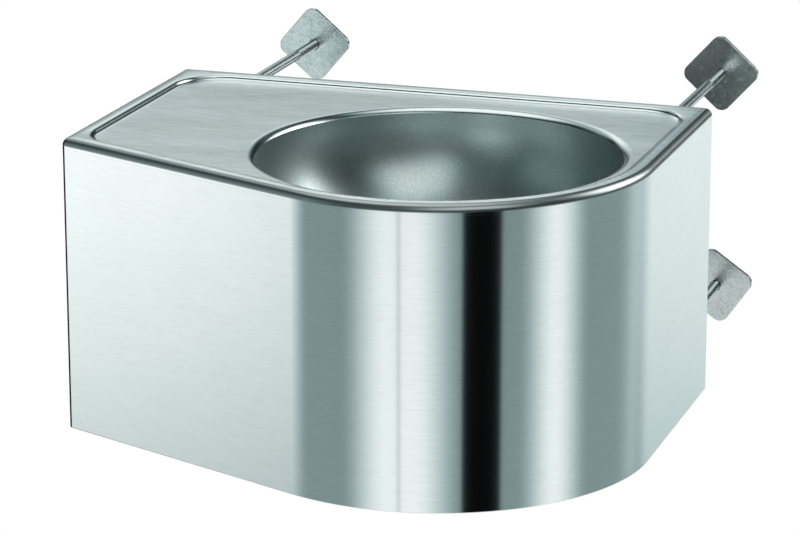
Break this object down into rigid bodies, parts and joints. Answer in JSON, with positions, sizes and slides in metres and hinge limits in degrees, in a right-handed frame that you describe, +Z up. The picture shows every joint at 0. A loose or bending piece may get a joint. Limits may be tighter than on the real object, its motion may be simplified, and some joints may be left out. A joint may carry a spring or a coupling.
{
  "type": "wall-hung washbasin",
  "caption": "Wall-hung stainless steel washbasin: round bowl in a pressed deck with a shelf, a wrap-round apron, wall studs with clamp plates, and a trapped waste.",
  "frame": {"origin": "centre of the four wall studs, on the face of the wall", "axes": "+X to the right of someone facing the basin, +Y into the wall, +Z up"},
  "size_m": [0.54, 0.707, 0.3014],
  "materials": {
    "satin_steel": "satin, brushed level",
    "bowl_steel": "fine satin",
    "frame_steel": "mill finish",
    "stud_zinc": "bright zinc plate",
    "plate_zinc": "galvanised",
    "screw_steel": "plain",
    "waste_steel": "polished",
    "trap_chrome": "chrome plate on brass",
    "seal_rubber": "matt"
  },
  "bodies": {
    "basin": {"deck": "satin_steel", "bowl": "bowl_steel", "front_apron": "satin_steel", "left_side": "satin_steel", "right_side": "satin_steel", "bottom_panel": "satin_steel", "bottom_panel_screws": "screw_steel", "bottom_panel_nuts": "screw_steel", "back_tie_bar": "frame_steel", "mounting_rail_left": "frame_steel", "mounting_rail_right": "frame_steel", "stud_weld_nuts": "stud_zinc", "stud_lock_nuts": "stud_zinc", "waste_strainer": "waste_steel", "strainer_screw": "screw_steel", "waste_upper_gasket": "seal_rubber", "waste_body": "waste_steel", "waste_lower_gasket": "seal_rubber", "waste_backnut": "trap_chrome", "trap_inlet_nut": "trap_chrome", "trap_inlet_seal": "seal_rubber", "trap_u_bend": "trap_chrome", "trap_union_nut": "trap_chrome", "trap_union_seal": "seal_rubber", "outlet_bend": "trap_chrome", "wall_stud_upper_left": "stud_zinc", "wall_stud_upper_right": "stud_zinc", "wall_stud_lower_left": "stud_zinc", "wall_stud_lower_right": "stud_zinc"},
    "washer_upper_left": {"plate_washer_upper_left": "stud_zinc"},
    "nut_upper_left": {"plate_nut_upper_left": "stud_zinc"},
    "plate_upper_left": {"wall_plate_upper_left": "plate_zinc"},
    "washer_upper_right": {"plate_washer_upper_right": "stud_zinc"},
    "nut_upper_right": {"plate_nut_upper_right": "stud_zinc"},
    "plate_upper_right": {"wall_plate_upper_right": "plate_zinc"},
    "washer_lower_left": {"plate_washer_lower_left": "stud_zinc"},
    "nut_lower_left": {"plate_nut_lower_left": "stud_zinc"},
    "plate_lower_left": {"wall_plate_lower_left": "plate_zinc"},
    "washer_lower_right": {"plate_washer_lower_right": "stud_zinc"},
    "nut_lower_right": {"plate_nut_lower_right": "stud_zinc"},
    "plate_lower_right": {"wall_plate_lower_right": "plate_zinc"}
  },
  "joints": [
    {"name": "nut_travel_upper_left", "type": "slide", "parent": "basin", "child": "washer_upper_left", "axis": [0, 1, 0], "range_m": [-0.05, 0.015]},
    {"name": "nut_turn_upper_left", "type": "hinge", "parent": "washer_upper_left", "child": "nut_upper_left", "pos_m": [-0.22, 0.257, 0.1125], "axis": [0, 1, 0], "range_deg": [-12001, 3601]},
    {"name": "plate_turn_upper_left", "type": "hinge", "parent": "washer_upper_left", "child": "plate_upper_left", "pos_m": [-0.22, 0.25, 0.1125], "axis": [0, 1, 0], "continuous": true},
    {"name": "nut_travel_upper_right", "type": "slide", "parent": "basin", "child": "washer_upper_right", "axis": [0, 1, 0], "range_m": [-0.05, 0.015]},
    {"name": "nut_turn_upper_right", "type": "hinge", "parent": "washer_upper_right", "child": "nut_upper_right", "pos_m": [0.22, 0.257, 0.1125], "axis": [0, 1, 0], "range_deg": [-12001, 3601]},
    {"name": "plate_turn_upper_right", "type": "hinge", "parent": "washer_upper_right", "child": "plate_upper_right", "pos_m": [0.22, 0.25, 0.1125], "axis": [0, 1, 0], "continuous": true},
    {"name": "nut_travel_lower_left", "type": "slide", "parent": "basin", "child": "washer_lower_left", "axis": [0, 1, 0], "range_m": [-0.05, 0.015]},
    {"name": "nut_turn_lower_left", "type": "hinge", "parent": "washer_lower_left", "child": "nut_lower_left", "pos_m": [-0.22, 0.257, -0.1125], "axis": [0, 1, 0], "range_deg": [-12001, 3601]},
    {"name": "plate_turn_lower_left", "type": "hinge", "parent": "washer_lower_left", "child": "plate_lower_left", "pos_m": [-0.22, 0.25, -0.1125], "axis": [0, 1, 0], "continuous": true},
    {"name": "nut_travel_lower_right", "type": "slide", "parent": "basin", "child": "washer_lower_right", "axis": [0, 1, 0], "range_m": [-0.05, 0.015]},
    {"name": "nut_turn_lower_right", "type": "hinge", "parent": "washer_lower_right", "child": "nut_lower_right", "pos_m": [0.22, 0.257, -0.1125], "axis": [0, 1, 0], "range_deg": [-12001, 3601]},
    {"name": "plate_turn_lower_right", "type": "hinge", "parent": "washer_lower_right", "child": "plate_lower_right", "pos_m": [0.22, 0.25, -0.1125], "axis": [0, 1, 0], "continuous": true}
  ],
  "couplings": [
    {"joint": "nut_turn_upper_left", "follows": "nut_travel_upper_left", "rad_per_m": 4188.8},
    {"joint": "nut_turn_upper_right", "follows": "nut_travel_upper_right", "rad_per_m": 4188.8},
    {"joint": "nut_turn_lower_left", "follows": "nut_travel_lower_left", "rad_per_m": 4188.8},
    {"joint": "nut_turn_lower_right", "follows": "nut_travel_lower_right", "rad_per_m": 4188.8}
  ]
}
